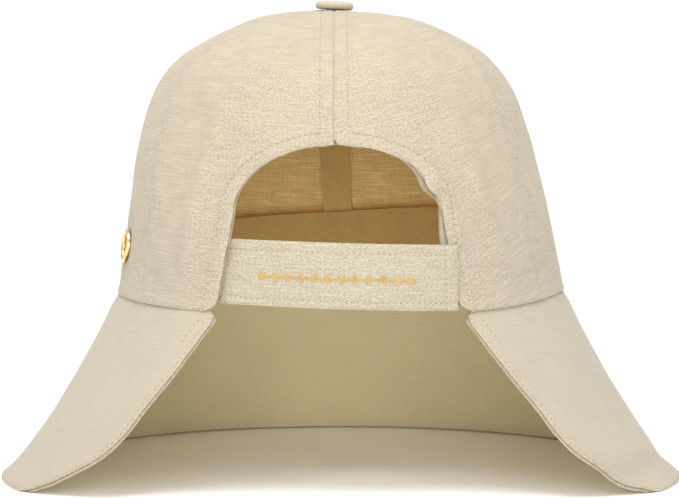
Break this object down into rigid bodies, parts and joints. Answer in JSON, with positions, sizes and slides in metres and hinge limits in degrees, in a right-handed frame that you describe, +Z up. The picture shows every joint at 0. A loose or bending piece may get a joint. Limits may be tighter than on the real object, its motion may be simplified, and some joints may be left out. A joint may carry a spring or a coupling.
{
  "type": "sun bonnet",
  "caption": "Soft linen sun bonnet: gored crown with a covered button, arched back opening closed by a strap, and a deep down-sloping brim open at the back.",
  "frame": {"origin": "on the floor under the middle of the bonnet's box, as it stands on its brim", "axes": "+Z up; +X towards the wearer's left; the front faces -Y and the arched opening faces +Y"},
  "size_m": [0.2814, 0.261, 0.195],
  "materials": {
    "crown_linen": "slubby plain-weave linen, cream",
    "brim_linen": "smooth pressed linen, cream",
    "strap_linen": "folded linen, cream",
    "sweatband_twill": "soft twill, tan",
    "seam_tape": "cotton tape, tan",
    "hook_tape": "matte woven tape, beige",
    "brass": "polished"
  },
  "bodies": {
    "root": {"panel_front_left": "crown_linen", "panel_front_right": "crown_linen", "panel_side_left": "crown_linen", "panel_side_right": "crown_linen", "panel_back_left": "crown_linen", "panel_back_right": "crown_linen", "brim": "brim_linen", "sweatband": "sweatband_twill", "seam_tape_front": "seam_tape", "seam_tape_front_left": "seam_tape", "seam_tape_front_right": "seam_tape", "seam_tape_back_left": "seam_tape", "seam_tape_back_right": "seam_tape", "seam_tape_back": "seam_tape", "arch_binding": "crown_linen", "closure_strap": "strap_linen", "closure_tab": "hook_tape", "button": "crown_linen", "eyelet": "brass"}
  },
  "joints": []
}
